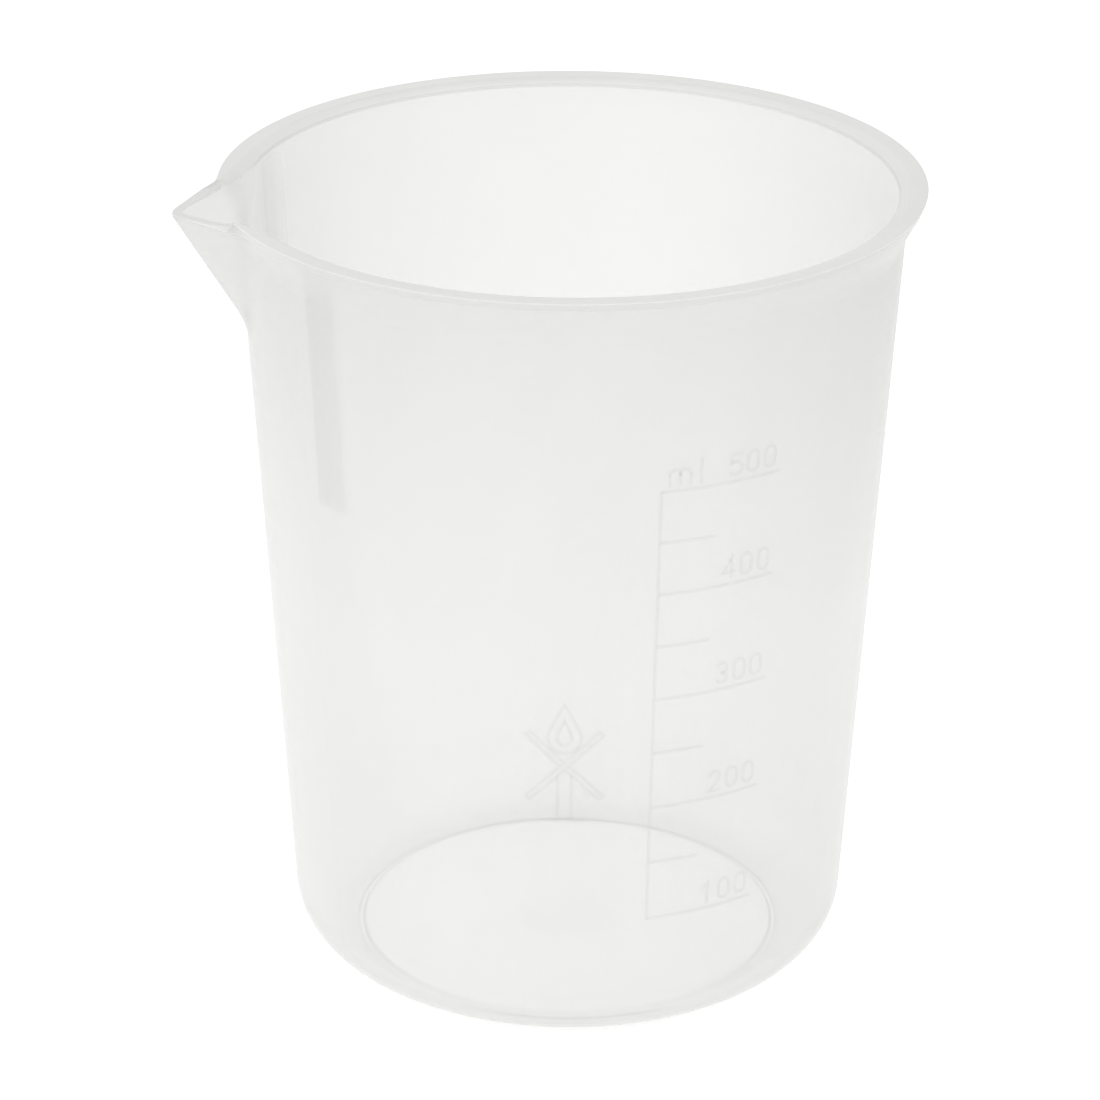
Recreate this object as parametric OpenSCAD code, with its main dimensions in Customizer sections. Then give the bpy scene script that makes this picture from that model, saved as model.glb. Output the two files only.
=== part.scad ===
// Graduated low-form beaker, moulded in translucent polypropylene, 500 ml.
//
// Frame: millimetres, +Z up, origin on the axis at the resting surface.
// The pouring spout points along -X and the graduation faces -Y.
//
// The real beaker is one moulding. Each named region below is a closed solid,
// and the regions meet face to face on planes, cylinders and cones.

/* [Body] */
// Overall height, table to top of the lip
body_h = 120; // [112:0.5:124]
// Outer diameter of the wall where the lip begins
wall_top_d = 96.4; // [93:0.2:98]
// Outer diameter that the tapered wall would have at the table
wall_foot_d = 82.2; // [80:0.2:86]
// Thickness of the wall
wall_t = 1.5; // [1.2:0.1:2]
// Outer radius of the rounded heel
heel_r = 9.2; // [7:0.2:12]

/* [Base] */
// Width of the foot ring
foot_w = 1.2; // [0.8:0.1:2]
// Height that the foot ring lifts the floor off the table
foot_h = 0.4; // [0.3:0.1:0.7]
// Diameter of the pad round the gate mark
gate_pad_d = 15; // [8:0.5:20]
// Diameter of the gate mark in the middle of the pad
gate_d = 2.4; // [1.5:0.1:4]

/* [Lip] */
// Outer diameter of the lip
lip_d = 102.4; // [101:0.2:106]
// Height of the lip's upright outer edge
lip_edge_h = 1.2; // [0.8:0.1:2]
// Height of the whole lip, from where it leaves the wall
lip_h = 5.9; // [4.5:0.1:8]
// Depth of the bevel round the mouth
mouth_bevel_h = 1; // [0.6:0.1:1.4]
// Width of the bevel round the mouth
mouth_bevel_w = 1.6; // [1:0.1:2]

/* [Spout] */
// Reach of the spout's tip from the axis
spout_reach = 57.9; // [56:0.1:60]
// Angle of the spout's crease above the horizontal
spout_rise = 59.2; // [56:0.2:64]
// Angle between one cheek and the spout's centre line, seen from above
spout_half_angle = 51; // [46:1:56]
// Outer radius of the crease between the cheeks
spout_nose_r = 2.4; // [2.2:0.1:3]

/* [Stacking ribs] */
// Angle of each rib from the spout, round the axis
rib_angle = 29.4; // [26:0.2:36]
// Width of a rib
rib_w = 5.8; // [4:0.2:7]
// How far a rib stands in from the wall
rib_t = 1.1; // [0.6:0.1:1.6]
// Height of the lower end of the ribs
rib_bottom = 80.8; // [70:0.2:90]

/* [Graduation] */
// Volume at the lowest main line
scale_min_ml = 100; // [100:100:200]
// Volume at the highest main line
scale_max_ml = 500; // [400:100:500]
// Volume between two main lines
scale_step_ml = 100; // [100:100:200]
// Direction of the spine round the axis
scale_angle = 273.4; // [270:0.2:276]
// Angle round the axis that a main line covers
main_line_angle = 22.6; // [20:0.2:26]
// Angle round the axis that a half line covers
half_line_angle = 9.8; // [8:0.2:12]
// Width of the raised lines and strokes
stroke = 0.42; // [0.3:0.02:0.6]
// How far the raised lines stand out of the wall
relief = 0.22; // [0.15:0.01:0.35]
// Height of the numerals
digit_h = 3.6; // [3:0.1:4.5]
// Width of one numeral
digit_w = 2.15; // [1.8:0.05:2.6]

/* [No-flame symbol] */
// Direction of the symbol round the axis
symbol_angle = 257.1; // [240:0.1:262]
// Height of the middle of the crossed bars
symbol_z = 47.6; // [40:0.2:60]
// Half the width and height of the crossed bars
cross_half = 5.1; // [4:0.1:6.5]

/* [Hidden] */
$fn = 96;

// Wall: a straight line in the section, r = foot radius + taper * z
lip_z = body_h - lip_h;
taper = (wall_top_d - wall_foot_d) / 2 / lip_z;
draft = atan(taper);
function outer_r(z) = wall_foot_d / 2 + taper * z;
function inner_r(z) = outer_r(z) - wall_t / cos(draft);

// Heel: an arc that touches the table and the wall
heel_centre_r = outer_r(heel_r) - heel_r / cos(draft);
inner_heel_r = heel_r - wall_t;
function heel_point(r, a) = [heel_centre_r + r * cos(a), heel_r + r * sin(a)];
heel_top_out = heel_point(heel_r, -draft);
heel_top_in = heel_point(inner_heel_r, -draft);
floor_z = heel_r - inner_heel_r;

// Inside volume up to a height z, in ml, and the height of a given volume
function heel_area_sum(u) =
    heel_centre_r * heel_centre_r * u
    + heel_centre_r * (u * sqrt(max(0, inner_heel_r ^ 2 - u ^ 2))
        + inner_heel_r ^ 2 * asin(u / inner_heel_r) * PI / 180)
    + inner_heel_r ^ 2 * u - u ^ 3 / 3;
heel_ml = PI / 1000 * (heel_area_sum(inner_heel_r) - heel_area_sum(heel_r - heel_top_in.y));
function level_z(ml) =
    heel_top_in.y
    + (pow(3000 * taper * (ml - heel_ml) / PI + heel_top_in.x ^ 3, 1 / 3) - heel_top_in.x) / taper;

// Spout: a V-shaped channel that runs up along the crease
spout_top = body_h - lip_edge_h;
v_half_angle = atan(tan(spout_half_angle) / sin(spout_rise));
v_length = 40;
v_depth = 16;
nose_steps = 12;

// Places measured from the heights above
bevel_z = body_h - mouth_bevel_h;
rib_top = bevel_z - 0.8;
lip_break = 0.15;
gate_pad_t = 0.12;

// Graduation
half_step_ml = scale_step_ml / 2;
digit_gap = 0.72;
digit_lift = 0.85;
digit_inset = 0.6;
unit_inset = 0.9;
function angle_of(length, z) = length / outer_r(z) * 180 / PI;

// Symbol
flame_r = 2.45;
flame_h = 8;
flame_lift = 4.4;
burner_w = 2;
burner_h = 7.4;
burner_gap = 1.4;
cross_bar = 1.25;

function milk(shade) = [shade, shade, shade * 0.985];

// ---------------------------------------------------------------- helpers

// Solid of revolution from a section given as [r, z] points
module turned(points) {
    rotate_extrude(convexity = 6)
        polygon(points);
}

// The cone that the outside of the wall lies on, drawn as a solid, plus extra
module wall_cone(z0, z1, extra = 0) {
    translate([0, 0, z0])
        cylinder(h = z1 - z0, r1 = outer_r(z0) + extra, r2 = outer_r(z1) + extra);
}

// Flat shape across the V channel: a wedge with a rounded nose
module v_section(nose_r) {
    centre_y = -spout_nose_r;
    side = 90 - v_half_angle;
    touch_y = centre_y + nose_r * sin(v_half_angle);
    end_x = nose_r * cos(v_half_angle) + (touch_y + v_depth) * tan(v_half_angle);
    polygon([
        for (i = [0:nose_steps]) let (a = 90 - side + 2 * side * i / nose_steps)
            [nose_r * cos(a), centre_y + nose_r * sin(a)],
        [-end_x, -v_depth],
        [end_x, -v_depth]
    ]);
}

// The V channel as a solid, its nose running up the crease to the spout's tip
module v_channel(nose_r) {
    translate([-spout_reach, 0, spout_top])
        rotate([0, 0, 90])
        rotate([spout_rise - 90, 0, 0])
        translate([0, 0, -v_length])
        linear_extrude(v_length * 1.4)
        v_section(nose_r);
}

// Keeps what its children have within the raised layer on the wall
module raised_on_wall(z0, z1) {
    intersection() {
        difference() {
            wall_cone(z0, z1, relief);
            wall_cone(z0, z1);
        }
        union() children();
    }
}

// Turns a flat drawing to face outwards at an angle round the axis
module drawn_at(angle, z) {
    rotate([0, 0, angle - 270])
        translate([0, -(outer_r(z) - 2), z])
        rotate([90, 0, 0])
        linear_extrude(4)
        children();
}

// Part of a ring drawn with the stroke width, from angle a0 to a1
module arc_stroke(r, a0, a1) {
    reach = r * 3;
    steps = 8;
    intersection() {
        difference() {
            circle(r = r + stroke / 2);
            circle(r = r - stroke / 2);
        }
        polygon([
            [0, 0],
            for (i = [0:steps]) let (a = a0 + (a1 - a0) * i / steps) reach * [cos(a), sin(a)]
        ]);
    }
}

// Straight stroke between two points
module bar(p, q) {
    d = q - p;
    translate(p)
        rotate(atan2(d.y, d.x))
        translate([0, -stroke / 2])
        square([norm(d), stroke]);
}

// ---------------------------------------------------------------- base

// Disc between the foot ring's top and the inside of the beaker
module base_floor() {
    color(milk(0.91))
        translate([0, 0, foot_h])
        cylinder(h = floor_z - foot_h, r = heel_centre_r);
}

// Ring under the floor that the beaker stands on
module foot_ring() {
    color(milk(0.86))
        turned([
            [heel_centre_r - foot_w, foot_h],
            [heel_centre_r - foot_w * 0.8, 0],
            [heel_centre_r, 0],
            [heel_centre_r, foot_h]
        ]);
}

// Raised pad under the floor, with the mark of the moulding gate in its middle
module gate_pad() {
    color(milk(0.88)) {
        translate([0, 0, foot_h - gate_pad_t])
            cylinder(h = gate_pad_t, d = gate_pad_d);
        translate([0, 0, foot_h - 2 * gate_pad_t])
            cylinder(h = gate_pad_t, d = gate_d);
    }
}

// Rounded corner between the floor and the wall
module heel() {
    color(milk(0.9))
        rotate_extrude(convexity = 6)
        intersection() {
            translate([heel_centre_r, heel_r])
                difference() {
                    circle(r = heel_r);
                    circle(r = inner_heel_r);
                }
            polygon([
                [heel_centre_r, heel_r],
                [heel_centre_r, 0],
                [heel_centre_r + 2 * heel_r, 0],
                heel_point(2 * heel_r, -draft)
            ]);
        }
}

// ---------------------------------------------------------------- wall and ribs

// Tapered tube from the heel to the lip, open where the spout leaves it
module side_wall() {
    color(milk(0.93))
        difference() {
            turned([
                heel_top_in,
                heel_top_out,
                [outer_r(lip_z), lip_z],
                [inner_r(lip_z), lip_z]
            ]);
            v_channel(spout_nose_r - wall_t);
        }
}

// Upright rib inside the wall that keeps a nested beaker from jamming
module stacking_rib(side) {
    color(milk(0.86))
        intersection() {
            difference() {
                inner_cone(0);
                inner_cone(rib_t);
            }
            rotate([0, 0, 180 + side * rib_angle])
                translate([inner_r(rib_bottom) - 5, -rib_w / 2, rib_bottom])
                cube([10, rib_w, rib_top - rib_bottom]);
        }
}

// The cone that the inside of the wall lies on, less a thickness
module inner_cone(less) {
    translate([0, 0, rib_bottom - 1])
        cylinder(
            h = rib_top - rib_bottom + 2,
            r1 = inner_r(rib_bottom - 1) - less,
            r2 = inner_r(rib_top + 1) - less
        );
}

module stacking_rib_front() {
    stacking_rib(1);
}

module stacking_rib_back() {
    stacking_rib(-1);
}

// ---------------------------------------------------------------- lip and spout

// Flared, thickened edge of the mouth, interrupted at the spout
module rim_lip() {
    lip_r = lip_d / 2;
    color(milk(0.82))
        difference() {
            turned([
                [inner_r(lip_z), lip_z],
                [outer_r(lip_z), lip_z],
                [lip_r - 3 * lip_break, spout_top],
                [lip_r, body_h - lip_break],
                [lip_r - lip_break, body_h],
                [inner_r(bevel_z) + mouth_bevel_w, body_h],
                [inner_r(bevel_z), bevel_z]
            ]);
            v_channel(spout_nose_r - wall_t);
            difference() {
                v_channel(spout_nose_r);
                wall_cone(lip_z - 20, body_h + 1);
            }
        }
}

// Thin V-shaped pouch outside the wall
module pouring_spout() {
    color(milk(0.9))
        difference() {
            v_channel(spout_nose_r);
            v_channel(spout_nose_r - wall_t);
            wall_cone(spout_top - 2 * v_length, body_h + v_length);
            translate([-2 * spout_reach, -v_length, spout_top])
                cube([2 * spout_reach, 2 * v_length, v_length]);
        }
}

// ---------------------------------------------------------------- graduation

// Raised line round the wall at a volume, starting at the spine
module scale_line(ml, covered) {
    z = level_z(ml);
    low = z - stroke / 2;
    high = z + stroke / 2;
    spine_half = angle_of(stroke / 2, z);
    rotate_extrude(angle = covered - spine_half, start = scale_angle + spine_half)
        polygon([
            [outer_r(low), low],
            [outer_r(low) + relief, low + stroke / 6],
            [outer_r(high) + relief, high - stroke / 6],
            [outer_r(high), high]
        ]);
}

module scale_main_lines() {
    color(milk(0.8))
        for (ml = [scale_min_ml:scale_step_ml:scale_max_ml])
            scale_line(ml, main_line_angle);
}

module scale_half_lines() {
    color(milk(0.8))
        for (ml = [scale_min_ml + half_step_ml:scale_step_ml:scale_max_ml - half_step_ml])
            scale_line(ml, half_line_angle);
}

// Raised upright line that the level lines start from
module scale_spine() {
    low = level_z(scale_min_ml) - stroke / 2;
    high = level_z(scale_max_ml) + stroke / 2;
    covered = angle_of(stroke, (low + high) / 2);
    color(milk(0.8))
        rotate_extrude(angle = covered, start = scale_angle - covered / 2)
        polygon([
            [outer_r(low), low],
            [outer_r(low) + relief, low],
            [outer_r(high) + relief, high],
            [outer_r(high), high]
        ]);
}

// Numerals 0 to 5, drawn round the middle of their foot with one stroke width
module digit(n) {
    half = (digit_w - stroke) / 2;
    low = stroke / 2;
    top = digit_h - stroke / 2;
    bowl = (top - low) / 4;
    if (n == 0) {
        translate([0, low + half]) arc_stroke(half, -180, 0);
        translate([0, top - half]) arc_stroke(half, 0, 180);
        for (x = [-half, half]) bar([x, low + half], [x, top - half]);
    }
    if (n == 1) {
        bar([0.1, 0], [0.1, digit_h]);
        bar([0.1, top], [-half, top - 0.8]);
    }
    if (n == 2) {
        translate([0, top - half]) arc_stroke(half, -40, 170);
        bar([half * cos(40), top - half - half * sin(40)], [-half, low]);
        bar([-half - low, low], [half + low, low]);
    }
    if (n == 3) {
        translate([0, top - bowl]) arc_stroke(bowl, -90, 160);
        translate([0, low + bowl]) arc_stroke(bowl, -160, 90);
    }
    if (n == 4) {
        bar([half / 2, 0], [half / 2, digit_h]);
        bar([half / 2, top], [-half, digit_h * 0.3]);
        bar([-half - low, digit_h * 0.3], [half + low, digit_h * 0.3]);
    }
    if (n == 5) {
        bar([half, top], [-half * 0.8, top]);
        bar([-half * 0.8, digit_h], [-half * 0.9, digit_h * 0.5]);
        translate([0, low + half * 1.15]) arc_stroke(half * 1.15, -150, 135);
    }
}

// The three numerals over a main line, ending at its right end
module numeral(ml) {
    z = level_z(ml) + digit_lift;
    pitch = angle_of(digit_w + digit_gap, z);
    last = scale_angle + main_line_angle - angle_of(digit_inset + digit_w / 2, z);
    digits = [ml / 100, 0, 0];
    for (i = [0:2])
        drawn_at(last - (2 - i) * pitch, z) digit(digits[i]);
}

module scale_numerals() {
    color(milk(0.8))
        raised_on_wall(level_z(scale_min_ml), level_z(scale_max_ml) + 2 * digit_h)
        for (ml = [scale_min_ml:scale_step_ml:scale_max_ml])
            numeral(ml);
}

// The letters m and l over the left end of the top line
module scale_unit() {
    z = level_z(scale_max_ml) + digit_lift;
    hump = digit_w * 0.36;
    x_height = digit_h * 0.66;
    color(milk(0.8))
        raised_on_wall(z - 1, z + 2 * digit_h)
        drawn_at(scale_angle + angle_of(unit_inset, z), z) {
            for (i = [0:2]) bar([2 * i * hump, 0], [2 * i * hump, x_height - hump]);
            for (i = [0:1])
                translate([(2 * i + 1) * hump, x_height - hump - stroke / 2])
                arc_stroke(hump, 0, 180);
            bar([6 * hump, 0], [6 * hump, digit_h]);
        }
}

// ---------------------------------------------------------------- no-flame symbol

// Teardrop with its point upwards
module drop(r, h) {
    lean = acos(r / h);
    circle(r = r);
    polygon([
        [0, h], [-r * sin(lean), r * cos(lean)], [0, 0], [r * sin(lean), r * cos(lean)]
    ]);
}

// Outline of a flame with a smaller flame inside it
module symbol_flame() {
    color(milk(0.82))
        raised_on_wall(symbol_z, symbol_z + 4 * flame_r + flame_h)
        drawn_at(symbol_angle, symbol_z + flame_lift) {
            difference() {
                drop(flame_r, flame_h - flame_lift + flame_r);
                drop(flame_r - stroke, flame_h - flame_lift + flame_r - 3 * stroke);
            }
            difference() {
                drop(flame_r * 0.5, flame_r * 1.25);
                drop(flame_r * 0.5 - stroke, flame_r * 1.25 - 2 * stroke);
            }
        }
}

// Outline of a burner's tube and its foot
module symbol_burner() {
    top = -burner_gap;
    foot = top - burner_h;
    color(milk(0.82))
        raised_on_wall(symbol_z - 3 * cross_half, symbol_z)
        drawn_at(symbol_angle, symbol_z) {
            for (x = [-burner_w / 2, burner_w / 2]) bar([x, foot], [x, top]);
            bar([-burner_w * 1.5, foot], [burner_w * 1.5, foot]);
        }
}

// Two crossed bars, drawn in outline
module symbol_cross() {
    color(milk(0.82))
        raised_on_wall(symbol_z - 2 * cross_half, symbol_z + 2 * cross_half)
        drawn_at(symbol_angle, symbol_z)
        difference() {
            crossed_bars(cross_half * sqrt(2), cross_bar);
            crossed_bars(cross_half * sqrt(2) - stroke, cross_bar - 2 * stroke);
        }
}

module crossed_bars(half_length, width) {
    for (a = [-45, 45])
        rotate(a)
            square([2 * half_length, width], center = true);
}

base_floor();
foot_ring();
gate_pad();
heel();
side_wall();
rim_lip();
pouring_spout();
stacking_rib_front();
stacking_rib_back();
scale_spine();
scale_main_lines();
scale_half_lines();
scale_numerals();
scale_unit();
symbol_flame();
symbol_burner();
symbol_cross();
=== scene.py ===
"""Graduated low-form beaker in milky polypropylene: camera, light, shell, ribs, marks, materials.

The moulding's surface is one grid of rows (up the section) and columns (round the axis),
cut into pieces that share their edge rings, so no inner face shows through the plastic.
"""
import math

import bpy
import numpy as np
from mathutils import Matrix, Vector


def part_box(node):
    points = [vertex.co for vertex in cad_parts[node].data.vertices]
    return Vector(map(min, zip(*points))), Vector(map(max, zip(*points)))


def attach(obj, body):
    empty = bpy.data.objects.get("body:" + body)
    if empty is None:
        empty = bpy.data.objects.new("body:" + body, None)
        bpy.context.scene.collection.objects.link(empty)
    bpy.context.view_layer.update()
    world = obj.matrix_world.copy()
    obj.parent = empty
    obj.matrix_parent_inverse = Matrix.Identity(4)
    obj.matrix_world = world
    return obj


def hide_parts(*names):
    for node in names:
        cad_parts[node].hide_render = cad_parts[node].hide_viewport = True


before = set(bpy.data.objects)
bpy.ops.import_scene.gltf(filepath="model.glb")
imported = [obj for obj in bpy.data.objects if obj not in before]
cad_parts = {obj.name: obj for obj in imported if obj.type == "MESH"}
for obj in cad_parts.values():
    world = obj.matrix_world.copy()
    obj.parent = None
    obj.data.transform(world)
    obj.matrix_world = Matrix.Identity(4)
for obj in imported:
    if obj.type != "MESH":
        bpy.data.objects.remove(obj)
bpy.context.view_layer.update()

MM = 0.001

# ------------------------------------------------------------------ camera

CAMERA_AT = (-0.1270, -0.5873, 0.3271)
HEADING = math.radians(-11.921)
PITCH = math.radians(23.84)
ROLL = math.radians(0.285)
LENS_MM = 144.07
SENSOR_MM = 36.0
FAR_CLIP = 20


def add_camera():
    """Camera at the photograph's viewing angle, with no shift and no depth of field."""
    forward = Vector((math.sin(-HEADING) * math.cos(PITCH), math.cos(HEADING) * math.cos(PITCH),
                      -math.sin(PITCH)))
    right = forward.cross(Vector((0, 0, 1))).normalized()
    up = right.cross(forward)
    image_x = right * math.cos(ROLL) + up * math.sin(ROLL)
    image_y = up * math.cos(ROLL) - right * math.sin(ROLL)
    data = bpy.data.cameras.new("camera")
    data.lens = LENS_MM
    data.sensor_width = SENSOR_MM
    data.clip_end = FAR_CLIP
    data.dof.use_dof = False
    camera = bpy.data.objects.new("camera", data)
    turn = Matrix((image_x, image_y, -forward)).transposed().to_4x4()
    camera.matrix_world = Matrix.Translation(CAMERA_AT) @ turn
    bpy.context.scene.collection.objects.link(camera)
    bpy.context.scene.camera = camera


add_camera()

# ------------------------------------------------------------------ sizes, read from the frame

rim_lo, rim_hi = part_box("rim_lip")
wall_lo, wall_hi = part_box("side_wall")
_, heel_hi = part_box("heel")
floor_lo, floor_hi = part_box("base_floor")
_, foot_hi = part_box("foot_ring")
pad_lo, pad_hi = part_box("gate_pad")
spout_lo, spout_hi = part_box("pouring_spout")

TOP = rim_hi.z
LIP_R = rim_hi.x
LIP_Z = rim_lo.z
WALL = floor_hi.z
TAPER = (wall_hi.x - heel_hi.x) / (LIP_Z - wall_lo.z)
DRAFT = math.atan(TAPER)
FLOOR_R = floor_hi.x
HEEL_R = (heel_hi.x - FLOOR_R) / math.cos(DRAFT)
SPOUT_TOP = spout_hi.z
SPOUT_TIP = -spout_lo.x

# Foot ring, under the edge of the floor, with a painted dark line of RING_LINE at each of its
# edges, a painted shade
RING_W = 1.2 * MM
RING_IN = foot_hi.x - RING_W
RING_SLOPE = 0.24 * MM
RING_ROUND = 0.12 * MM
RING_LINE = 0.45 * MM

# Radius of the one polygon in the middle of the floor
CENTRE_R = 0.4 * MM


def outer_r(z):
    """Radius of the plain wall's outside at a height."""
    return wall_hi.x + TAPER * (z - LIP_Z)


def inner_r(z):
    """Radius of the plain wall's inside at a height."""
    return outer_r(z) - WALL / math.cos(DRAFT)


# Spout, seen from above: two cheeks that meet at a rounded nose, whose crease slopes in.
# The nose's rounding is an angle round the axis, and the tip stands upright over BLUNT.
CHEEK = math.radians(51)
BLUNT = 0.6 * MM
RISE = math.atan2(SPOUT_TOP - BLUNT - spout_lo.z, SPOUT_TIP - outer_r(spout_lo.z))
SECTION_CHEEK = math.atan(math.tan(CHEEK) / math.sin(RISE))
NOSE_OUT = 0.028
NOSE_IN = 0.016
BLEND_OUT = 1.7 * MM
BLEND_IN = 1.5 * MM
CHEEK_IN = WALL / (math.sin(SECTION_CHEEK) * math.sin(RISE))

# The part of the wall that belongs to the spout's piece, and where the grid gets finer for it
SPOUT_SIDE = math.radians(20)
SPOUT_FOOT = 97 * MM
FINE_ROWS = 95 * MM
FINE_COLUMNS = math.radians(24)

# Lip. Its ends and its bevel fade out between two angles from the spout's middle, and its piece
# ends at LIP_GAP. LEAST_TOP is the least width of its flat top.
BEVEL_Z = TOP - 1.0 * MM
BEVEL_W = 1.6 * MM
EDGE_LEAN = 0.45 * MM
LIP_END = (math.radians(8.4), math.radians(11.0))
BEVEL_END = (math.radians(9.0), math.radians(19.0))
LIP_BLEND = 0.9 * MM
LIP_GAP = math.radians(10.4)
LEAST_TOP = 0.7 * MM
ROW_STEP = 0.4 * MM
EDGE_ROUND = 0.2 * MM
BEVEL_ROUND = 0.3 * MM

# The brim, the spout's own edge: how far it climbs, its height and the width of its top
BRIM_CLIMB = 0.8 * MM
BRIM_H = 0.45 * MM
BRIM_TOP = 0.12 * MM
BRIM_TRIM = 0.02 * MM


def smooth_max(a, b, k):
    """The larger of two lengths, with the corner between them rounded over a length k."""
    h = np.clip(k - np.abs(a - b), 0, None) / k
    return np.maximum(a, b) + h * h * k / 4


def smooth_step(x, lo, hi):
    """0 up to lo, 1 from hi, and a smooth climb between them."""
    t = np.clip((x - lo) / (hi - lo), 0, 1)
    return t * t * (3 - 2 * t)


def pouch_r(phi, z, back, nose):
    """Distance from the axis to the spout's cheeks, at angle phi from its middle."""
    apex = SPOUT_TIP * math.sin(CHEEK + NOSE_OUT) / math.sin(CHEEK) - back
    apex = apex - np.maximum(SPOUT_TOP - BLUNT - z, 0) / math.tan(RISE)
    around = np.sqrt(phi * phi + nose * nose)
    return apex * math.sin(CHEEK) / np.sin(np.minimum(CHEEK + around, math.pi / 2))


def outside(phi, z):
    """Outer surface of the wall and the spout together."""
    return smooth_max(outer_r(z), pouch_r(phi, z, 0, NOSE_OUT), BLEND_OUT)


def inside(phi, z):
    """Inner surface of the wall and the spout together."""
    return smooth_max(inner_r(z), pouch_r(phi, z, CHEEK_IN, NOSE_IN), BLEND_IN)


def lip_presence(phi):
    """0 in the gap at the spout, 1 where the lip is whole."""
    return smooth_step(np.abs(phi), *LIP_END)


def brim(phi):
    """Height of the spout's own edge, which climbs a little from its tip to the lip."""
    return SPOUT_TOP + BRIM_CLIMB * np.clip(np.abs(phi) / LIP_END[1], 0, 1) ** 2


def under_lip(phi, z):
    """Outer surface from just below the lip up to its edge."""
    slope = (LIP_R - EDGE_LEAN - outer_r(LIP_Z)) / (SPOUT_TOP - LIP_Z)
    cone = outer_r(LIP_Z) + slope * (z - LIP_Z)
    plain = outside(phi, z)
    return plain + lip_presence(phi) * (smooth_max(plain, cone, LIP_BLEND) - plain)


# ------------------------------------------------------------------ the moulding's surface

def fan(lo, hi, count):
    """Evenly spaced values from lo to hi."""
    return np.linspace(lo, hi, count)


def columns():
    """Angles round the axis from the spout's middle, close together near the spout."""
    fine = fan(-FINE_COLUMNS, FINE_COLUMNS, 161)
    coarse = fan(FINE_COLUMNS, 2 * math.pi - FINE_COLUMNS, 171)[1:-1]
    coarse = np.where(coarse > math.pi, coarse - 2 * math.pi, coarse)
    return np.concatenate([fine, coarse])


def rounded(corners, reach, steps):
    """Rows along a chain of (r, z) corners, each inner corner rounded within its reach."""
    rows = [corners[0]]
    for i in range(1, len(corners) - 1):
        here = corners[i]
        legs = []
        for other in (corners[i - 1], corners[i + 1]):
            way = [other[0] - here[0], other[1] - here[1]]
            length = np.sqrt(way[0] ** 2 + way[1] ** 2) + 1e-9
            used = np.minimum(reach[i - 1], 0.45 * length) / length
            legs.append([here[0] + way[0] * used, here[1] + way[1] * used])
        for t in fan(0, 1, steps):
            rows.append([
                (1 - t) ** 2 * legs[0][k] + 2 * t * (1 - t) * here[k] + t * t * legs[1][k]
                for k in (0, 1)
            ])
    return rows + [corners[-1]]


def plain_rows(region, points, phi):
    """Rows that are circles round the axis, from (r, z) points."""
    return [[region, np.full_like(phi, r), np.full_like(phi, z)] for r, z in points]


def shaped_rows(region, surface, heights, phi):
    """Level rows that follow a surface, outside, inside or under_lip."""
    return [[region, surface(phi, z), np.full_like(phi, z)] for z in heights]


def heel_arc(r, start, end, count):
    """Points of the heel's rounding, at a distance r from its centre."""
    return [(FLOOR_R + r * math.cos(a), HEEL_R + r * math.sin(a)) for a in fan(start, end, count)]


def foot_rows(phi):
    """From under the middle of the floor, over the foot ring and round the heel's outside."""
    lift = floor_lo.z
    foot = [(CENTRE_R, lift), (RING_IN, lift), (RING_IN + RING_SLOPE, 0.0), (FLOOR_R, 0.0)]
    corners = rounded(foot, [RING_ROUND, RING_ROUND], 3)
    floor = corners[:1] + [(RING_IN * k / 6, lift) for k in range(1, 6)]
    ring = corners[1:-1] + [(FLOOR_R - RING_LINE, 0.0)]
    heel = heel_arc(HEEL_R, -math.pi / 2, -DRAFT, 26)[:-1]
    return (plain_rows("base_floor", floor, phi) + plain_rows("foot_ring", ring, phi)
            + plain_rows("heel", heel, phi))


def outer_rows(phi):
    """Up the outside of the wall and the spout to just below the lip's edge."""
    wall = list(fan(wall_lo.z, FINE_ROWS, 16))[:-1]
    wall += list(fan(FINE_ROWS, LIP_Z - 3 * ROW_STEP, 22))
    wall += [LIP_Z - 2 * ROW_STEP, LIP_Z - ROW_STEP]
    lip = fan(LIP_Z, SPOUT_TOP - 2 * BRIM_H, 9)
    return (shaped_rows("side_wall", under_lip, wall, phi)
            + shaped_rows("rim_lip", under_lip, lip, phi))


def over_the_top(phi):
    """Rows round the lip's edge, its flat top and its bevel, or over the spout's thin brim."""
    whole = lip_presence(phi)

    def mix(gap, lip):
        return gap + whole * (lip - gap)

    edge = brim(phi)
    top = mix(edge, TOP)
    edge_z = mix(edge - BRIM_H, SPOUT_TOP)
    edge_r = under_lip(phi, edge_z)
    rim_r = mix(outside(phi, edge - BRIM_TRIM), LIP_R)
    bevel = smooth_step(np.abs(phi), *BEVEL_END)
    bevel_z = top - (BRIM_H + bevel * (TOP - BEVEL_Z - BRIM_H))
    inner = inside(phi, bevel_z)
    bevel_r = np.minimum(inner + BRIM_TOP + bevel * (BEVEL_W - BRIM_TOP), rim_r - LEAST_TOP)
    deep_z = bevel_z - 1.5 * ROW_STEP
    chain = [
        [under_lip(phi, edge_z - ROW_STEP), edge_z - ROW_STEP],
        [edge_r, edge_z],
        [rim_r, top],
        [bevel_r, top],
        [inner, bevel_z],
        [inside(phi, deep_z), deep_z],
    ]
    rows = rounded(chain, [EDGE_ROUND, EDGE_ROUND, BEVEL_ROUND, BEVEL_ROUND], 5)
    return [["rim_lip", r, z] for r, z in rows]


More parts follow.
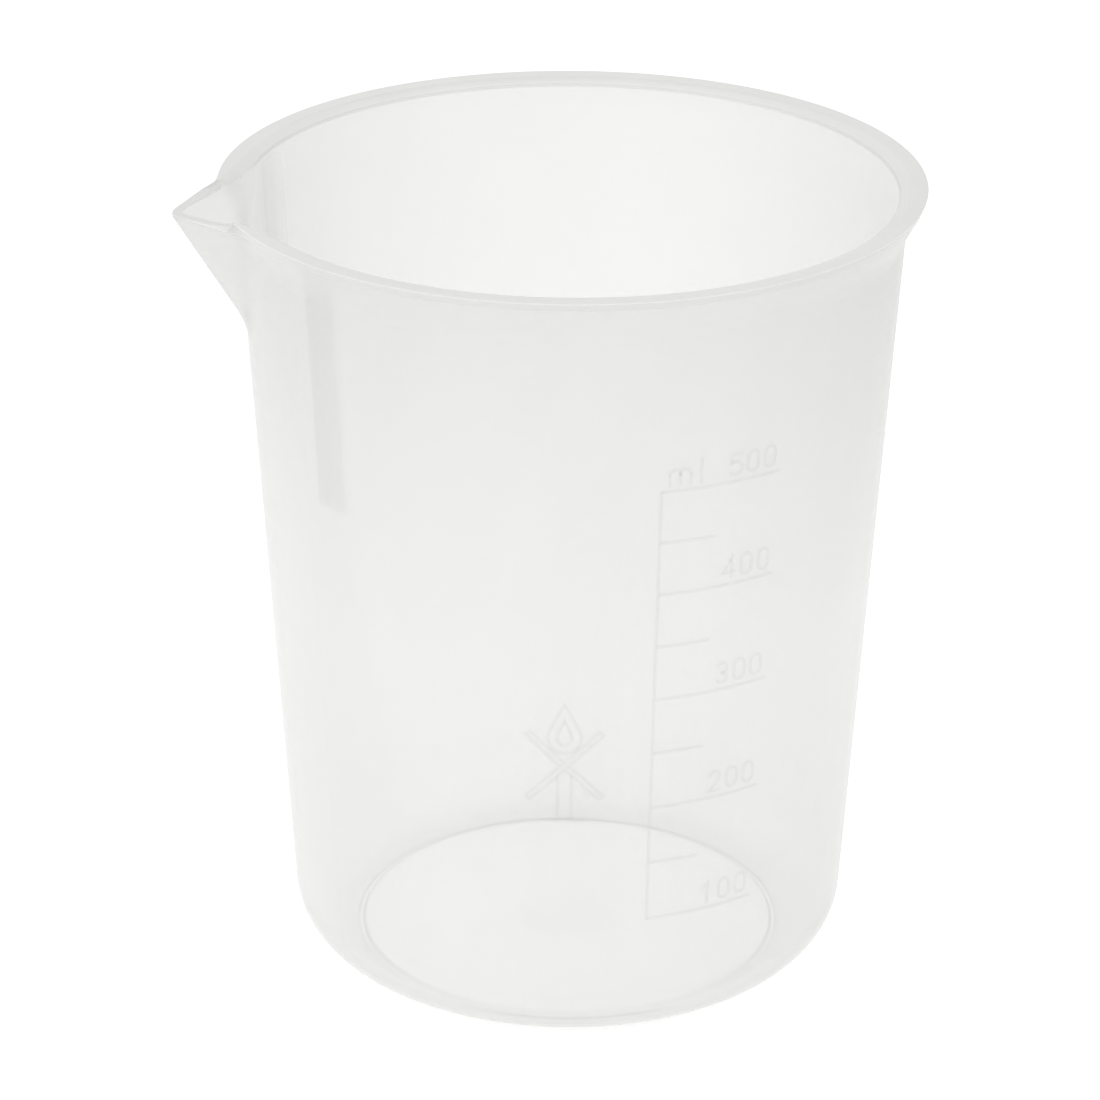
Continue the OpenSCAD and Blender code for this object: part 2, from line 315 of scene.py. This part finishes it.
def inner_rows(phi):
    """Down the inside of the spout and the wall, round the heel and over the floor."""
    inner_low = HEEL_R - (HEEL_R - WALL) * math.sin(DRAFT)
    lip = fan(SPOUT_TOP - 3 * ROW_STEP, LIP_Z, 8)[:-1]
    wall = list(fan(LIP_Z, FINE_ROWS, 24)) + list(fan(FINE_ROWS, inner_low, 16))[1:-1]
    heel = heel_arc(HEEL_R - WALL, -DRAFT, -math.pi / 2, 24)
    floor = heel[-1:] + [(FLOOR_R * k / 6, WALL) for k in range(5, 0, -1)] + [(CENTRE_R, WALL)]
    return (shaped_rows("rim_lip", inside, lip, phi) + shaped_rows("side_wall", inside, wall, phi)
            + shaped_rows("heel", inside, [inner_low], phi) + plain_rows("heel", heel[1:-1], phi)
            + plain_rows("base_floor", floor, phi))


def surface_rows(phi):
    """All rows, from under the floor, up the outside, over the lip and down the inside.

    Each is [region, r, z], and the region names the strip from that row to the next."""
    return foot_rows(phi) + outer_rows(phi) + over_the_top(phi) + inner_rows(phi)


PHI = columns()
ROWS = surface_rows(PHI)
GRID = np.array([
    np.stack([-r * np.cos(PHI), -r * np.sin(PHI), z], axis=1) for _, r, z in ROWS
])


def grid_normals(grid):
    """Outward normals of the whole moulding, so that pieces shade as one surface."""
    along = np.gradient(grid, axis=0)
    around = np.roll(grid, -1, axis=1) - np.roll(grid, 1, axis=1)
    n = np.cross(around, along)
    return n / (np.linalg.norm(n, axis=2, keepdims=True) + 1e-15)


NORMALS = grid_normals(GRID)
BRIM_ROW = int(np.argmax(GRID[:, len(PHI) // 2, 2]))


def cell_owner():
    """Name of the piece that each cell of the grid belongs to."""
    rows, cols = len(ROWS) - 1, len(PHI)
    owner = np.empty((rows, cols), dtype=object)
    middle = PHI + np.mod(np.roll(PHI, -1) - PHI, 2 * math.pi) / 2
    at_spout = np.abs(middle) < SPOUT_SIDE
    at_gap = np.abs(middle) < LIP_GAP
    for i in range(rows):
        region = ROWS[i][0]
        owner[i, :] = region
        z = (ROWS[i][2][0] + ROWS[i + 1][2][0]) / 2
        if region == "side_wall" and z > SPOUT_FOOT:
            owner[i, at_spout] = "pouring_spout"
        if region == "rim_lip":
            owner[i, at_gap] = "pouring_spout"
    return owner


def new_object(name, verts, faces, normals=None):
    """A smooth-shaded mesh object, with its own normals where they are given."""
    mesh = bpy.data.meshes.new(name)
    mesh.from_pydata([tuple(v) for v in verts], [], faces)
    mesh.validate()
    mesh.polygons.foreach_set("use_smooth", [True] * len(mesh.polygons))
    if normals is not None:
        mesh.normals_split_custom_set_from_vertices([tuple(n) for n in normals])
    mesh.update()
    obj = bpy.data.objects.new(name, mesh)
    bpy.context.scene.collection.objects.link(obj)
    return obj


def shell_piece(name, owner):
    """The part of the moulding's surface that a named piece owns, with both its skins.

    Its second material goes on the inner skin."""
    cols = len(PHI)
    cells = np.argwhere(owner == name)
    index = {}
    verts, normals, faces = [], [], []

    def vertex(i, j):
        key = (i, j % cols)
        if key not in index:
            index[key] = len(verts)
            verts.append(GRID[key])
            normals.append(NORMALS[key])
        return index[key]

    for i, j in cells:
        faces.append((vertex(i, j), vertex(i, j + 1), vertex(i + 1, j + 1), vertex(i + 1, j)))
    if name == "base_floor":
        faces.append(tuple(vertex(0, j) for j in range(cols))[::-1])
        faces.append(tuple(vertex(len(ROWS) - 1, j) for j in range(cols)))
    piece = new_object("moulded_" + name, verts, faces, normals)
    inner = [int(i >= BRIM_ROW) for i, _ in cells]
    if name == "base_floor":
        inner += [0, 1]
    piece.data.polygons.foreach_set("material_index", inner)
    return piece


# ------------------------------------------------------------------ ridges, ribs and the gate pad

# A stroke's section: (sideways in half widths, height in reliefs), with its foot in the wall
STROKE = 0.44 * MM
RELIEF = 0.20 * MM
SUNK = 0.03 * MM
ACROSS = (
    (-1.0, -1), (-0.86, 0.62), (-0.45, 0.95), (0.0, 1.0), (0.45, 0.95), (0.86, 0.62), (1.0, -1),
)


def arc(cx, cy, r, start, end, steps=14):
    """Points of an arc, with its angles in degrees."""
    return [(cx + r * math.cos(math.radians(a)), cy + r * math.sin(math.radians(a)))
            for a in fan(start, end, steps)]


def with_round_ends(points):
    """Adds stations beyond both ends of an open path, with the width that they shrink to."""
    out = [(np.array(p), 1.0) for p in points]
    for end in (0, -1):
        tip, before = np.array(points[end]), np.array(points[1 if end == 0 else -2])
        way = (tip - before) / np.linalg.norm(tip - before)
        extra = [(tip + way * STROKE / 2 * math.sin(a), math.cos(a)) for a in (0.6, 1.1, 1.4)]
        out = extra[::-1] + out if end == 0 else out + extra
    return out


def stations(points, closed):
    """Middle, sideways direction and width factor at each point of a path."""
    line = [(np.array(p), 1.0) for p in points] if closed else with_round_ends(points)
    count = len(line)
    result = []
    for i, (here, width) in enumerate(line):
        before = line[(i - 1) % count][0] if closed or i else here
        after = line[(i + 1) % count][0] if closed or i < count - 1 else here
        a = (here - before) / (np.linalg.norm(here - before) + 1e-12)
        b = (after - here) / (np.linalg.norm(after - here) + 1e-12)
        way = (a + b) / (np.linalg.norm(a + b) + 1e-12)
        turn = max(0.5, float(np.dot(way, b if np.any(b) else a)))
        result.append((here, np.array((way[1], -way[0])) / turn, width))
    return result


def on_wall(angle, u, z, h):
    """Point a height h above the wall, at a distance u round it from an angle."""
    around = angle + u / outer_r(z)
    r = outer_r(z) + h
    return (r * math.cos(around), r * math.sin(around), z)


def add_ridge(verts, faces, points, angle, z0, closed=False):
    """Raised stroke with a rounded back, swept along a path drawn on the wall."""
    line = stations(points, closed)
    first, ring = len(verts), len(ACROSS)
    for here, side, width in line:
        for t, lift in ACROSS:
            u, v = here + side * (t * STROKE / 2 * width)
            h = RELIEF * lift * (0.35 + 0.65 * width) if lift > 0 else -SUNK
            verts.append(on_wall(angle, u, z0 + v, h))
    last = len(line) if closed else len(line) - 1
    for i in range(last):
        j = (i + 1) % len(line)
        for k in range(ring):
            m = (k + 1) % ring
            faces.append((first + i * ring + k, first + j * ring + k,
                          first + j * ring + m, first + i * ring + m))
    if not closed:
        faces.append(tuple(first + k for k in range(ring)))
        faces.append(tuple(first + (len(line) - 1) * ring + k for k in range(ring))[::-1])


def shape_of(node):
    """Angle round the axis and height of each vertex of a CAD node."""
    co = np.array([v.co[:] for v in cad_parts[node].data.vertices])
    return np.arctan2(co[:, 1], co[:, 0]) % (2 * math.pi), co[:, 2]


LINES_APART = 2 * MM


def line_levels(node):
    """(height, first angle, last angle) of each raised line in a CAD node, lowest first."""
    angle, z = shape_of(node)
    order = np.argsort(z)
    cuts = np.where(np.diff(z[order]) > LINES_APART)[0] + 1
    return [((z[g].min() + z[g].max()) / 2, angle[g].min(), angle[g].max())
            for g in np.split(order, cuts)]


def middle_of(node):
    """Angle and height of the middle of a CAD node on the wall."""
    angle, z = shape_of(node)
    return (angle.min() + angle.max()) / 2, (z.min() + z.max()) / 2


def level_lines(node):
    """The raised lines of one CAD node, each from the spine to its end."""
    verts, faces = [], []
    for z, start, end in line_levels(node):
        length = (end - start) * outer_r(z)
        steps = max(8, int(length / MM))
        add_ridge(verts, faces, [(u, 0) for u in fan(0, length, steps)], start, z)
    return verts, faces


def spine_line():
    """The upright line that the graduation starts from."""
    verts, faces = [], []
    lo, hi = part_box("scale_spine")
    angle, _ = middle_of("scale_spine")
    points = [(0, v) for v in fan(STROKE / 2, hi.z - lo.z - STROKE / 2, 60)]
    add_ridge(verts, faces, points, angle, lo.z)
    return verts, faces


DIGIT_H = 3.6 * MM
DIGIT_W = 2.15 * MM
DIGIT_GAP = 0.72 * MM
DIGIT_LIFT = 0.85 * MM
DIGIT_INSET = 0.6 * MM
UNIT_INSET = 0.9 * MM


def digit_paths(n):
    """Strokes of a numeral round the middle of its foot, as (points, closed)."""
    half = (DIGIT_W - STROKE) / 2
    low, top = STROKE / 2, DIGIT_H - STROKE / 2
    bowl = (top - low) / 4
    wide = 1.15 * half
    return {
        0: [(arc(0, top - half, half, 0, 180) + arc(0, low + half, half, 180, 360), True)],
        1: [([(-half, top - 0.8 * MM), (0.1 * MM, top), (0.1 * MM, low)], False)],
        2: [(arc(0, top - half, half, 170, -40) + [(-half, low), (half, low)], False)],
        3: [(arc(0, top - bowl, bowl, 160, -90), False),
            (arc(0, low + bowl, bowl, 90, -160), False)],
        4: [([(half / 2, low), (half / 2, top), (-half, DIGIT_H * 0.3), (half, DIGIT_H * 0.3)],
             False)],
        5: [([(half, top), (-half * 0.8, top), (-half * 0.9, DIGIT_H * 0.53)]
             + arc(0, low + wide, wide, 130, -150), False)],
    }[n]


def numerals():
    """Three numerals over the right end of each main line."""
    verts, faces = [], []
    for index, (z, _, end) in enumerate(line_levels("scale_main_lines")):
        foot = z + DIGIT_LIFT
        for place, digit in enumerate((index + 1, 0, 0)):
            back = DIGIT_INSET + DIGIT_W / 2 + (2 - place) * (DIGIT_W + DIGIT_GAP)
            angle = end - back / outer_r(foot)
            for points, closed in digit_paths(digit):
                add_ridge(verts, faces, points, angle, foot, closed)
    return verts, faces


def unit_mark():
    """The letters m and l over the left end of the top line."""
    verts, faces = [], []
    z, start, _ = line_levels("scale_main_lines")[-1]
    foot = z + DIGIT_LIFT
    hump, x_height = DIGIT_W * 0.36, DIGIT_H * 0.66
    shoulder = x_height - hump
    strokes = [[(2 * k * hump, 0), (2 * k * hump, shoulder)] for k in range(3)]
    strokes += [arc((2 * k + 1) * hump, shoulder, hump, 180, 0) for k in range(2)]
    strokes += [[(6 * hump, 0), (6 * hump, DIGIT_H)]]
    angle = start + UNIT_INSET / outer_r(foot)
    for points in strokes:
        add_ridge(verts, faces, points, angle, foot)
    return verts, faces


def drop_outline(r, h, foot):
    """Outline of a teardrop whose round part is centred a little over the foot."""
    lean = math.degrees(math.acos(r / h))
    return arc(0, foot, r, 90 + lean, 450 - lean, 30) + [(0, foot + h)]


FLAME_R = 2.4 * MM
BURNER_R = 1.0 * MM
BURNER_FOOT = 2.9 * MM
BAR_HALF = 0.42 * MM


def flame():
    """A drop-shaped flame with a smaller drop inside it."""
    verts, faces = [], []
    angle, z = middle_of("symbol_cross")
    lo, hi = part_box("symbol_flame")
    centre = lo.z + FLAME_R + STROKE / 2 - z
    height = hi.z - z - centre - STROKE
    for r, h in ((FLAME_R, height), (0.45 * FLAME_R, 1.15 * FLAME_R)):
        add_ridge(verts, faces, drop_outline(r, h, centre), angle, z, True)
    return verts, faces


def burner():
    """The burner's two sides and its foot."""
    verts, faces = [], []
    angle, z = middle_of("symbol_cross")
    lo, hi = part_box("symbol_burner")
    foot, top = lo.z + STROKE / 2 - z, hi.z - STROKE / 2 - z
    for x in (-BURNER_R, BURNER_R):
        add_ridge(verts, faces, [(x, v) for v in fan(foot, top, 8)], angle, z)
    add_ridge(verts, faces, [(u, foot) for u in fan(-BURNER_FOOT, BURNER_FOOT, 8)], angle, z)
    return verts, faces


def turned_by(points, degrees):
    """Points turned about the origin of the wall's own plane."""
    c, s = math.cos(math.radians(degrees)), math.sin(math.radians(degrees))
    return [(c * x - s * y, s * x + c * y) for x, y in points]


def crossed_bars():
    """Two bars in outline; the rising one passes over the falling one."""
    verts, faces = [], []
    angle, z = middle_of("symbol_cross")
    lo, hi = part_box("symbol_cross")
    reach = (hi.z - lo.z) / math.sqrt(2) - STROKE
    across = fan(-reach, reach, 11)
    over = [(u, -BAR_HALF) for u in across] + [(u, BAR_HALF) for u in across[::-1]]
    add_ridge(verts, faces, turned_by(over, 45), angle, z, True)
    for side in (-1, 1):
        arm = fan(side * (BAR_HALF + STROKE), side * reach, 5)
        under = [(u, BAR_HALF) for u in arm] + [(u, -BAR_HALF) for u in arm[::-1]]
        add_ridge(verts, faces, turned_by(under, -45), angle, z)
    return verts, faces


RIB_T = 1.1 * MM
RIB_W = 5.8 * MM
RIB_SUNK = 0.3 * MM
RIB_ROUND = 0.35 * MM
RIB_END = 1 * MM


def rib(node):
    """Upright rib on the inside of the wall, with rounded edges and ends.

    Returns its root's faces, which lie inside the wall, last."""
    angle, _ = middle_of(node)
    side = angle - math.pi
    lo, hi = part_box(node)
    half = RIB_W / 2
    corner = [(RIB_ROUND * (1 - math.cos(a)), RIB_T - RIB_ROUND + RIB_ROUND * math.sin(a))
              for a in fan(0, math.pi / 2, 6)]
    around = [(-half, -RIB_SUNK)] + [(u - half, d) for u, d in corner]
    around += [(half - u, d) for u, d in corner[::-1]] + [(half, -RIB_SUNK)]
    levels = [(lo.z, -RIB_SUNK)] + [(lo.z + v, cap) for v, cap in corner]
    levels += [(z, RIB_T) for z in fan(lo.z + RIB_END, hi.z - RIB_END, 24)]
    levels += [(hi.z - v, cap) for v, cap in corner[::-1]] + [(hi.z, -RIB_SUNK)]
    verts, ring, steps = [], len(around), range(len(levels) - 1)
    for z, cap in levels:
        for u, d in around:
            phi = side + u / inner_r(z)
            r = float(inside(np.array(phi), z)) - min(d, cap)
            verts.append((-r * math.cos(phi), -r * math.sin(phi), z))
    faces = [(i * ring + k, (i + 1) * ring + k, (i + 1) * ring + k + 1, i * ring + k + 1)
             for i in steps for k in range(ring - 1)]
    root = [(i * ring + ring - 1, (i + 1) * ring + ring - 1, (i + 1) * ring, i * ring)
            for i in steps]
    return verts, faces + root


PAD_MID_R = 4 * MM
STUB_R = 1.2 * MM
STUB_TIP_R = 0.8 * MM
STUB_HOLLOW_R = 0.35 * MM
PAD_ROUND = 0.05 * MM


def gate_profile():
    """Half section of the gate pad as (r, z): its rim, its face and the gate's stub."""
    pad_r, foot = pad_hi.x, pad_lo.z
    face = (pad_hi.z + pad_lo.z) / 2
    return [
        (pad_r, pad_hi.z + SUNK), (pad_r, face + PAD_ROUND), (pad_r - 0.07 * MM, face),
        (pad_r - 0.4 * MM, face), (PAD_MID_R, face), (STUB_R + 0.3 * MM, face),
        (STUB_R, face), (STUB_R - 0.04 * MM, foot + 0.02 * MM), (STUB_TIP_R, foot),
        (STUB_HOLLOW_R, foot + PAD_ROUND),
    ]


def gate_pad():
    """Low round pad under the floor with the rough stub of the gate in its middle."""
    profile, cols = gate_profile(), 96
    verts, faces = [], []
    for r, z in profile:
        for a in fan(0, 2 * math.pi, cols + 1)[:-1]:
            verts.append((r * math.cos(a), r * math.sin(a), z))
    for i in range(len(profile) - 1):
        for j in range(cols):
            k = (j + 1) % cols
            faces.append((i * cols + j, i * cols + k, (i + 1) * cols + k, (i + 1) * cols + j))
    faces.append(tuple(range(cols)))
    faces.append(tuple((len(profile) - 1) * cols + j for j in range(cols))[::-1])
    return verts, faces


# ------------------------------------------------------------------ materials

IOR = 1.49
GLOSS = 0.12
ROUGHNESS = (0.28, 0.48)

# Blue's share of the grey, and the heights between which shade and alpha change
WARMTH = 0.985
SHADE_FROM, SHADE_TO = 0.5 * TOP, 0.96 * TOP

# How much the flow streaks lighten and darken, and the noise values that they run between
HAZE = 0.02
STREAK_AT = (0.3, 0.72)


def add_node(tree, kind, **values):
    """Shader node with some of its inputs set; _ in an input's name stands for a space."""
    node = tree.nodes.new(kind)
    for key, value in values.items():
        node.inputs[key.replace("_", " ")].default_value = value
    return node


def maths(tree, operation, *values):
    """Result of a Math node on numbers or sockets."""
    node = tree.nodes.new("ShaderNodeMath")
    node.operation = operation
    for socket, value in zip(node.inputs, values):
        if isinstance(value, (int, float)):
            socket.default_value = value
        else:
            tree.links.new(value, socket)
    return node.outputs["Value"]


def greys(tree, factor, values, places=(0, 1)):
    """Colour ramp between two greys, each (red and green, blue)."""
    ramp = tree.nodes.new("ShaderNodeValToRGB")
    for element, place_at, (grey, blue) in zip(ramp.color_ramp.elements, places, values):
        element.position = place_at
        element.color = (grey, grey, blue, 1)
    tree.links.new(factor, ramp.inputs["Fac"])
    return ramp.outputs["Color"]


def noise(tree, where, stretch, turn=(0, 0, 0), **values):
    """Noise over the object's own coordinates, stretched along the axes."""
    spread = add_node(tree, "ShaderNodeMapping", Scale=stretch, Rotation=turn)
    tree.links.new(where, spread.inputs["Vector"])
    node = add_node(tree, "ShaderNodeTexNoise", **values)
    tree.links.new(spread.outputs["Vector"], node.inputs["Vector"])
    return node.outputs["Fac"]


def skin_alpha(tree, rise, alpha, alpha_top, least_slant):
    """How much one skin hides: the more, the longer the slanting way through the plastic."""
    facing = add_node(tree, "ShaderNodeLayerWeight", Blend=0.5).outputs["Facing"]
    slant = maths(tree, "MAXIMUM", maths(tree, "SUBTRACT", 1.0, facing), least_slant)
    square_on = maths(tree, "MULTIPLY_ADD", rise, alpha - alpha_top, 1.0 - alpha)
    clear = maths(tree, "POWER", square_on, maths(tree, "DIVIDE", 1.0, slant))
    return maths(tree, "SUBTRACT", 1.0, clear)


def skin_colour(tree, where, rise, shade, shade_top):
    """Slightly warm grey from the foot to the rim, with cloudy flow streaks."""
    base = greys(tree, rise, [(value, value * WARMTH) for value in (shade, shade_top)])
    cloud = noise(tree, where, (34, 34, 11), Scale=1.0, Detail=5.0, Roughness=0.55,
                  Distortion=0.6)
    streaks = greys(tree, cloud, [(value, value) for value in (1 - HAZE, 1 + HAZE)], STREAK_AT)
    tint = tree.nodes.new("ShaderNodeMix")
    tint.data_type = "RGBA"
    tint.blend_type = "MULTIPLY"
    tint.inputs["Factor"].default_value = 1.0
    tree.links.new(base, tint.inputs["A"])
    tree.links.new(streaks, tint.inputs["B"])
    return tint.outputs["Result"]


def scuffs(tree, where):
    """Roughness with faint scuffs."""
    scuff = noise(tree, where, (260, 260, 1500), (0.5, 0.3, 0.2), Scale=1.0, Detail=3.0,
                  Roughness=0.6)
    worn = add_node(tree, "ShaderNodeMapRange", From_Min=0.35, From_Max=0.75,
                    To_Min=ROUGHNESS[0], To_Max=ROUGHNESS[1])
    tree.links.new(scuff, worn.inputs["Value"])
    return worn.outputs["Result"]


def orange_peel(tree, where):
    """Normal with a slow waviness and a fine grain on top of it."""
    normal = None
    for scale, strength, distance in ((60.0, 0.35, 0.0003), (900.0, 0.12, 0.00004)):
        height = add_node(tree, "ShaderNodeTexNoise", Scale=scale, Detail=2.0, Roughness=0.5)
        tree.links.new(where, height.inputs["Vector"])
        bump = add_node(tree, "ShaderNodeBump", Strength=strength, Distance=distance)
        tree.links.new(height.outputs["Fac"], bump.inputs["Height"])
        if normal is not None:
            tree.links.new(normal, bump.inputs["Normal"])
        normal = bump.outputs["Normal"]
    return normal


def polypropylene(name, shade, alpha, shade_top=None, alpha_top=None, least_slant=0.12):
    """Milky plastic: cloudy flow streaks, fine orange peel and faint scuffs.

    Alpha is how much one skin hides when seen square on. Seen at a slant it hides more, as
    far as least_slant. Shade and alpha run from the foot to shade_top and alpha_top under the
    rim."""
    shade_top = shade if shade_top is None else shade_top
    alpha_top = alpha if alpha_top is None else alpha_top
    material = bpy.data.materials.new(name)
    material.use_nodes = True
    tree = material.node_tree
    surface = tree.nodes["Principled BSDF"].inputs
    surface["IOR"].default_value = IOR
    surface["Specular IOR Level"].default_value = GLOSS

    where = tree.nodes.new("ShaderNodeTexCoord").outputs["Object"]
    split = tree.nodes.new("ShaderNodeSeparateXYZ")
    tree.links.new(where, split.inputs["Vector"])
    climb = add_node(tree, "ShaderNodeMapRange", From_Min=SHADE_FROM, From_Max=SHADE_TO)
    tree.links.new(split.outputs["Z"], climb.inputs["Value"])
    rise = climb.outputs["Result"]
    tree.links.new(skin_alpha(tree, rise, alpha, alpha_top, least_slant), surface["Alpha"])
    tree.links.new(skin_colour(tree, where, rise, shade, shade_top), surface["Base Color"])
    tree.links.new(scuffs(tree, where), surface["Roughness"])
    tree.links.new(orange_peel(tree, where), surface["Normal"])
    return material


WALL_PP = polypropylene("milky_wall", shade=0.82, shade_top=0.71, alpha=0.315, alpha_top=0.36)
# The inner skins are painted brighter than the outer skin, a painted fill light for the inside of
# the beaker
INSIDE_LIT_PP = polypropylene("milky_inside_painted_light", shade=0.98, shade_top=0.94, alpha=0.265, alpha_top=0.29)
BASE_PP = polypropylene("milky_base", shade=0.86, alpha=0.10)
# The floor's inner skin is painted brighter than its underside in the same way, a painted fill
# light
BASE_INSIDE_LIT_PP = polypropylene("milky_base_inside_painted_light", shade=0.96, alpha=0.12)
PAD_PP = polypropylene("gate_pad_plastic", shade=0.86, alpha=0.015)
RING_PP = polypropylene("foot_ring_plastic", shade=0.86, alpha=0.10)
# Painted dark lines on the foot ring's edges: painted shade
RING_SHADE_LINE_PP = polypropylene("foot_ring_edge_painted_shade", shade=0.50, alpha=0.38)
RIM_PP = polypropylene("milky_rim", shade=0.84, alpha=0.72)
# The rim's upright edge is painted darker than its top: painted shade
EDGE_PP = polypropylene("rim_edge_painted_shade", shade=0.70, alpha=0.72)
# The spout's brim is one tone darker than the rim's top, partly a painted shade that carries on
# the rim edge's painted shade
BRIM_PP = polypropylene("spout_brim_part_painted_shade", shade=0.79, alpha=0.57)
# A painted dark line in the rim's inner corner: painted shade
CORNER_SHADE_PP = polypropylene("rim_corner_painted_shade", shade=0.78, alpha=0.60)
RIB_PP = polypropylene("milky_rib", shade=0.86, alpha=0.04, least_slant=0.6)
ROOT_PP = polypropylene("rib_root_plastic", shade=0.55, alpha=0.12, least_slant=0.6)
MARK_PP = polypropylene("raised_mark_plastic", shade=0.66, alpha=0.07, least_slant=0.5)

# ------------------------------------------------------------------ pieces

OWNER = cell_owner()
PAINT_SLACK = 0.1 * MM


def place(piece, node, slot_name, *materials):
    """Gives a piece its materials and has it ride the body in place of a CAD node."""
    for material in materials:
        piece.data.materials.append(material)
    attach(piece, "root")
    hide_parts(node)
    return piece


def paint_ring(ring):
    """Puts the ring's edge plastic, its second material, on both edges of the foot ring: painted
    dark lines, a painted shade.
    """
    for face in ring.data.polygons:
        r = math.hypot(face.center.x, face.center.y)
        at_edge = r > FLOOR_R - RING_LINE or r < RING_IN + RING_LINE
        face.material_index = int(at_edge)


def paint_rim(piece):
    """Puts materials 2, 3 and 4 on the rim's flat top, upright edge and inner corner. On the rim,
    3 is a painted shade on the upright edge and 4 a painted dark line in the inner corner.
    """
    flat_top, shaded_upright_edge, shaded_inner_corner = 2, 3, 4
    for face in piece.data.polygons:
        r, z = math.hypot(face.center.x, face.center.y), face.center.z
        if z < SPOUT_TOP - PAINT_SLACK:
            continue
        if r < inner_r(BEVEL_Z) + 2 * PAINT_SLACK:
            face.material_index = shaded_inner_corner
        elif r > LIP_R - EDGE_LEAN - PAINT_SLACK and z < TOP - 2 * PAINT_SLACK:
            face.material_index = shaded_upright_edge
        else:
            face.material_index = flat_top


def add_shell():
    """The moulding's skins, one piece per CAD node."""
    # Outer skin, then the inner skin, which is painted brighter as a painted fill light
    skins = (WALL_PP, INSIDE_LIT_PP)
    place(shell_piece("base_floor", OWNER), "base_floor", "pp_body", BASE_PP, BASE_INSIDE_LIT_PP)
    place(shell_piece("heel", OWNER), "heel", "pp_body", *skins)
    place(shell_piece("side_wall", OWNER), "side_wall", "pp_body", *skins)
    paint_ring(place(shell_piece("foot_ring", OWNER), "foot_ring", "pp_body", RING_PP,
                     RING_SHADE_LINE_PP))
    # The spout's brim takes the darker brim plastic, partly painted shade
    spout = shell_piece("pouring_spout", OWNER)
    paint_rim(place(spout, "pouring_spout", "pp_body", *skins, BRIM_PP, BRIM_PP, BRIM_PP))
    # The rim's upright edge and inner corner carry painted shade
    rim = shell_piece("rim_lip", OWNER)
    paint_rim(place(rim, "rim_lip", "pp_rim", *skins, RIM_PP, EDGE_PP, CORNER_SHADE_PP))


def paint_root(piece):
    """Puts the second material on a rib's root, which lies inside the wall."""
    for face in piece.data.polygons:
        x, y, z = face.center
        face.material_index = int(math.hypot(x, y) > inner_r(z) + PAINT_SLACK)


def add_details():
    """Ribs, gate pad, graduation and symbol."""
    for node in ("stacking_rib_front", "stacking_rib_back"):
        paint_root(place(new_object("inner_" + node, *rib(node)), node, "pp_body", RIB_PP,
                         ROOT_PP))
    place(new_object("moulded_gate_pad", *gate_pad()), "gate_pad", "pp_body", PAD_PP)
    marks = {
        "scale_spine": spine_line(),
        "scale_main_lines": level_lines("scale_main_lines"),
        "scale_half_lines": level_lines("scale_half_lines"),
        "scale_numerals": numerals(),
        "scale_unit": unit_mark(),
        "symbol_flame": flame(),
        "symbol_burner": burner(),
        "symbol_cross": crossed_bars(),
    }
    for node, shape in marks.items():
        place(new_object("raised_" + node, *shape), node, "pp_marks", MARK_PP)


add_shell()
add_details()

# ------------------------------------------------------------------ floor and light

FLOOR_HALF = 4.0
FLOOR_DEPTH = 0.02 * MM
FLOOR_GREY = (0.9, 0.9, 0.9, 1)
FLOOR_GLOW = 0.34
SKY = 0.86
LIGHT_AIM = Vector((0, 0, 0.05))
# Name, place, size and power of each soft light
SOFT_LIGHTS = (
    ("soft_front", (-0.4, -1.5, 0.9), 1.2, 0.7),
    ("soft_left", (-1.3, -0.3, 0.8), 0.9, 1.7),
)


def add_floor():
    """Pale floor, lit softly from below round the beaker like a photographer's light table."""
    mesh = bpy.data.meshes.new("floor")
    corners = [(-1, -1), (1, -1), (1, 1), (-1, 1)]
    mesh.from_pydata([(x * FLOOR_HALF, y * FLOOR_HALF, -FLOOR_DEPTH) for x, y in corners], [],
                     [(0, 1, 2, 3)])
    floor = bpy.data.objects.new("floor", mesh)
    material = bpy.data.materials.new("pale_floor")
    material.use_nodes = True
    surface = material.node_tree.nodes["Principled BSDF"].inputs
    surface["Base Color"].default_value = FLOOR_GREY
    surface["Roughness"].default_value = 0.9
    surface["Specular IOR Level"].default_value = 0
    surface["Emission Color"].default_value = (1, 1, 1, 1)
    surface["Emission Strength"].default_value = FLOOR_GLOW
    mesh.materials.append(material)
    bpy.context.scene.collection.objects.link(floor)


def add_light():
    """Even pale surroundings with two large soft lights."""
    world = bpy.data.worlds.new("studio")
    world.use_nodes = True
    background = world.node_tree.nodes["Background"]
    background.inputs["Color"].default_value = (1, 1, 1, 1)
    background.inputs["Strength"].default_value = SKY
    bpy.context.scene.world = world
    for name, at, size, power in SOFT_LIGHTS:
        data = bpy.data.lights.new(name, "AREA")
        data.shape = "SQUARE"
        data.size = size
        data.energy = power
        light = bpy.data.objects.new(name, data)
        light.location = at
        way = LIGHT_AIM - Vector(at)
        light.rotation_euler = way.to_track_quat("-Z", "Y").to_euler()
        bpy.context.scene.collection.objects.link(light)
    bpy.context.scene.view_settings.view_transform = "Standard"
    bpy.context.scene.cycles.transparent_max_bounces = 32


add_floor()
add_light()
